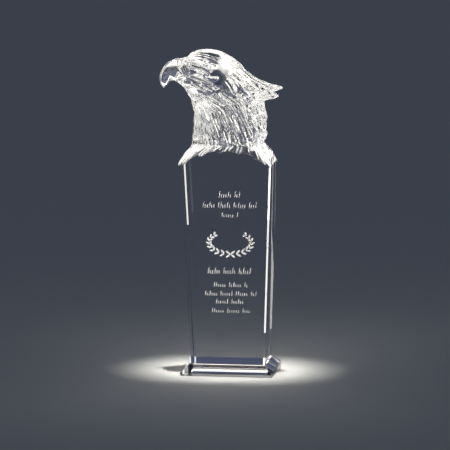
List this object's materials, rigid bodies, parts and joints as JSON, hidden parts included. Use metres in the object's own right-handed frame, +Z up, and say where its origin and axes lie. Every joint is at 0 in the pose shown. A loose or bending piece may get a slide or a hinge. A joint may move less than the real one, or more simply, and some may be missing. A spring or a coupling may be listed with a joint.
{
  "type": "crystal eagle award",
  "caption": "Clear crystal award: an eagle's head and feathered neck rising from a tapered block with rows of shallow engraved strokes, standing on a bevelled base.",
  "frame": {"origin": "the middle of the base's underside, on the table", "axes": "+Z up; the beak points to -X; the flat front panel faces -Y"},
  "size_m": [0.1163, 0.0614, 0.3062],
  "materials": {
    "tower_crystal": "moulded and polished clear optical crystal",
    "base_crystal": "cut and polished clear optical crystal"
  },
  "bodies": {
    "root": {"eagle_tower": "tower_crystal", "bevelled_base": "base_crystal"}
  },
  "joints": []
}
